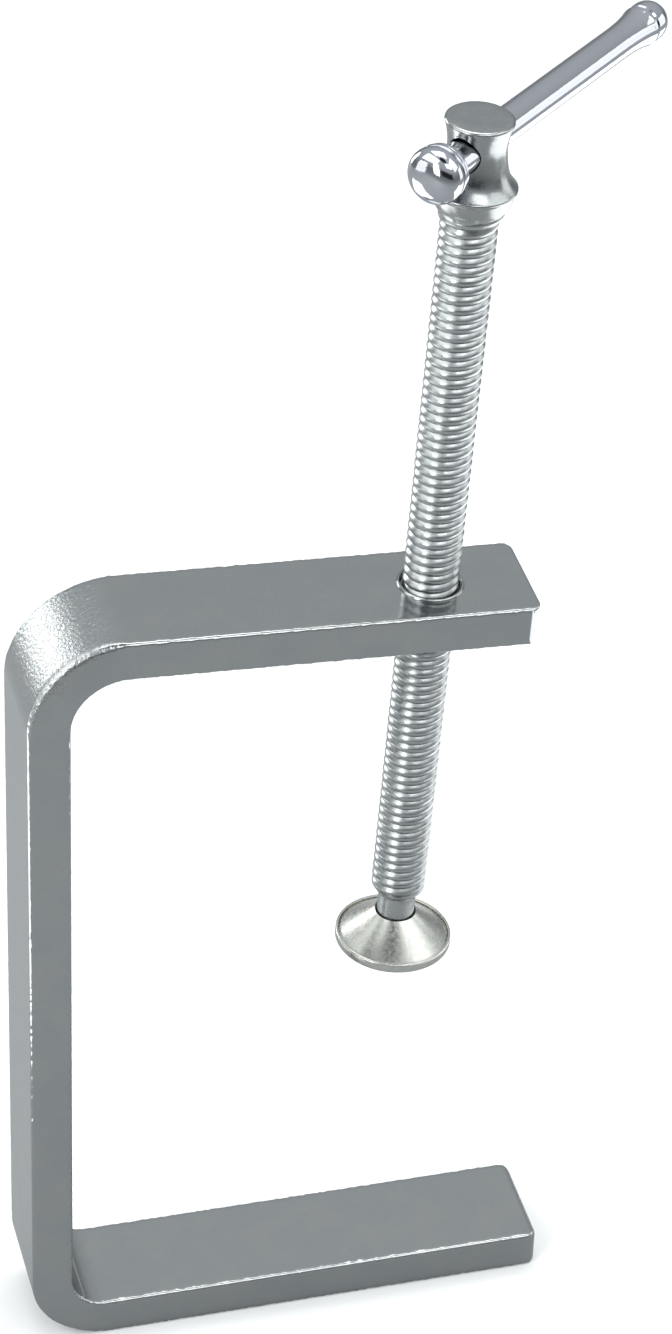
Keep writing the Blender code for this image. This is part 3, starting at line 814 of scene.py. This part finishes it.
# ---------------------------------------------------------------------------------------------
# Studio. A white card floor that the clamp stands on, with grey cloth just under it, which the
# metal mirrors in place of the card. Softboxes hang overhead, on both sides and behind on the
# left, and lit cards lie beside the clamp and hang over the camera.
# ---------------------------------------------------------------------------------------------
FLOOR_SIZE = 3.0
CLOTH_BELOW_FLOOR = 2 * MM


def sheet(name, height, colour):
    """A square of matt card or cloth that lies level."""
    bm = bmesh.new()
    bmesh.ops.create_grid(bm, x_segments=1, y_segments=1, size=FLOOR_SIZE)
    made = finished(bm, name)
    made.location.z = height
    material = bpy.data.materials.new("matt_" + name)
    material.use_nodes = True
    shader = material.node_tree.nodes["Principled BSDF"]
    shader.inputs["Base Color"].default_value = srgb(colour)
    shader.inputs["Roughness"].default_value = 0.9
    shader.inputs["Specular IOR Level"].default_value = 0.1
    made.data.materials.append(material)
    return made


floor = sheet("white_card", frame_low.z, "#EEEFEF")
floor.visible_glossy = floor.visible_diffuse = floor.visible_shadow = False
cloth = sheet("grey_cloth", frame_low.z - CLOTH_BELOW_FLOOR, "#A6A8A9")
cloth.visible_camera = False

middle = (Vector(cad_box[0]) + Vector(cad_box[1])) / 2


def softbox(name, heading, height, distance, size, radiance):
    """An area light that faces the clamp. heading is measured from +Y towards +X, in degrees,
    and height is its angle above the clamp's middle."""
    data = bpy.data.lights.new(name, "AREA")
    data.shape, data.size, data.size_y = "RECTANGLE", *size
    data.energy = radiance * math.pi * size[0] * size[1]
    light = bpy.data.objects.new(name, data)
    bpy.context.scene.collection.objects.link(light)
    heading, height = math.radians(heading), math.radians(height)
    level = math.cos(height)
    way = Vector((math.sin(heading) * level, math.cos(heading) * level, math.sin(height)))
    light.matrix_world = facing(way, middle + way * distance)
    light.visible_camera = False
    return light


def floor_light(name, place, size, radiance):
    """A lit card on the table that shines up, beside the clamp."""
    light = softbox(name, 0, 90, 1, size, radiance)
    on_table = Matrix.Translation((*place, frame_low.z + MM))
    light.matrix_world = on_table @ Matrix.Rotation(math.pi, 4, "X")


softbox("overhead_softbox", 10, 78, 0.95, (0.7, 0.6), 3.2)
softbox("back_window", -36, 10, 0.9, (0.34, 0.46), 5)
softbox("right_softbox", 115, 43, 0.8, (0.6, 0.5), 1.4)
softbox("left_softbox", -100, 45, 0.8, (0.72, 0.5), 1.55)
softbox("right_wall", 88, 6, 0.8, (0.4, 0.42), 1.5)
softbox("left_wall", -92, 6, 0.8, (0.35, 0.4), 1.5)
softbox("left_edge_strip", -127, 18, 0.6, (0.14, 0.36), 6)
softbox("front_card", 170, 46, 0.9, (0.5, 0.24), 3.2)
floor_light("right_floor_card", (0.245, 0), (0.26, 0.38), 2.1)
floor_light("left_floor_card", (-0.235, 0.04), (0.22, 0.17), 2.6)

world = bpy.data.worlds.new("studio_room")
bpy.context.scene.world = world
world.use_nodes = True
room = world.node_tree
direction = add(room, "TexCoord").outputs["Generated"]
height = add(room, "SeparateXYZ", {0: direction}).outputs["Z"]
walls = add(room, "ValToRGB", {0: add(room, "MapRange", {"Value": height, "From Min": -1}).outputs[0]})
ramp = walls.color_ramp
ramp.elements[0].color, ramp.elements[1].color = srgb("#B0B2B3"), srgb("#E4E6E8")
for place, colour in ((0.5, "#8A8D8F"), (0.68, "#C4C8CB"), (0.8, "#D0D4D7")):
    ramp.elements.new(place).color = srgb(colour)


def darkened(colour, towards, near, far, share=1.0):
    """The room with a dark gap in one direction: all dark where the cosine of the angle from it
    is over near, and none under far."""
    ways = {0: direction, 1: Vector(towards).normalized()}
    cosine = add(room, "VectorMath", ways, operation="DOT_PRODUCT").outputs["Value"]
    limits = {"Value": cosine, "From Min": far, "From Max": near, "To Max": share}
    shade = add(room, "MapRange", limits).outputs[0]
    colours = {"Factor": shade, 6: colour, 7: srgb("#2E3032")}
    return add(room, "Mix", colours, data_type="RGBA").outputs[2]


# The room behind the camera is dark low down, and so is a narrow gap high above the camera
limits = {"Value": height, "From Min": 0.2, "From Max": 0.3, "To Min": 1, "To Max": 0}
low = add(room, "MapRange", limits).outputs[0]
lit = darkened(walls.outputs[0], (-0.25, -0.95, 0.1), 0.93, 0.8, low)
lit = darkened(lit, (-0.12, -0.42, 0.9), 0.985, 0.955)
room.links.new(lit, room.nodes["Background"].inputs["Color"])

# ---------------------------------------------------------------------------------------------
# Camera. A long lens that looks down on the clamp from its front, with its jaws open to the
# right.
# ---------------------------------------------------------------------------------------------
CAMERA_HEADING = 16.02
CAMERA_TILT = 35.99
CAMERA_ROLL = 2.26
CAMERA_DISTANCE = 653.7 * MM
SENSOR_HEIGHT = 36
LENS = 121.4
aim = Vector((-7.9, 0, 111.4)) * MM
data = bpy.data.cameras.new("studio_camera")
data.sensor_fit, data.sensor_height, data.lens = "VERTICAL", SENSOR_HEIGHT, LENS
camera = bpy.data.objects.new("studio_camera", data)
bpy.context.scene.collection.objects.link(camera)
turn = Matrix.Rotation(-math.radians(CAMERA_HEADING), 4, "Z")
tilt = Matrix.Rotation(math.radians(90 - CAMERA_TILT), 4, "X")
roll = Matrix.Rotation(math.radians(CAMERA_ROLL), 4, "Z")
stand_off = Matrix.Translation((0, 0, CAMERA_DISTANCE))
camera.matrix_world = Matrix.Translation(aim) @ turn @ tilt @ roll @ stand_off
bpy.context.scene.camera = camera
bpy.context.scene.view_settings.view_transform = "Standard"
